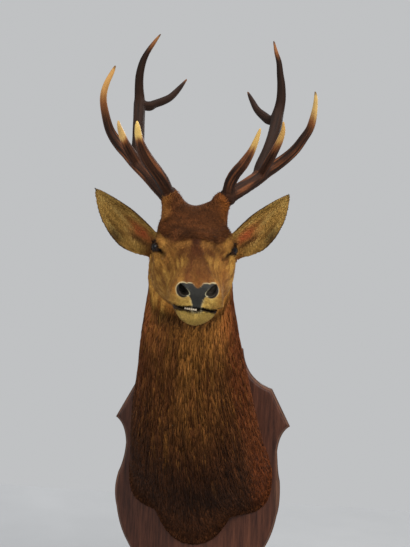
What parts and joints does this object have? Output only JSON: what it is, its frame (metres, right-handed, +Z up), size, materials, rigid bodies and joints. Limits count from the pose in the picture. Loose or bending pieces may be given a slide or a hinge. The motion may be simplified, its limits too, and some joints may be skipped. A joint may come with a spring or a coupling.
{
  "type": "red deer stag head mount",
  "caption": "Mounted head and neck of a red deer stag with branched antlers, set on a shield-shaped wooden wall board.",
  "frame": {"origin": "middle of the flat back of the wall board, where it lies against the wall", "axes": "+Z up, +Y into the wall, the stag looks along -Y, +X to the right of someone who faces it"},
  "size_m": [0.5061, 0.6287, 1.4611],
  "materials": {
    "coat": "coarse red-brown deer hair, darker down the neck",
    "face_coat": "short tan deer hair",
    "ear_coat": "short pale hair with a dark rim",
    "antler": "ridged dark brown bone with worn ivory tips",
    "eye": "polished dark brown glass",
    "nose": "dark grey pebbled nose leather",
    "teeth": "ivory teeth",
    "board": "stained and waxed dark wood"
  },
  "bodies": {
    "root": {"board": "board", "neck": "coat", "head": "face_coat", "lower_jaw": "face_coat", "eye_right": "eye", "eye_left": "eye", "ear_right": "ear_coat", "ear_left": "ear_coat", "antler_right_stem": "antler", "antler_right_brow": "antler", "antler_right_bez": "antler", "antler_right_tray": "antler", "antler_right_beam": "antler", "antler_right_front": "antler", "antler_right_back": "antler", "antler_left_stem": "antler", "antler_left_brow": "antler", "antler_left_bez": "antler", "antler_left_tray": "antler", "antler_left_beam": "antler", "antler_left_front": "antler", "antler_left_back": "antler"}
  },
  "joints": []
}
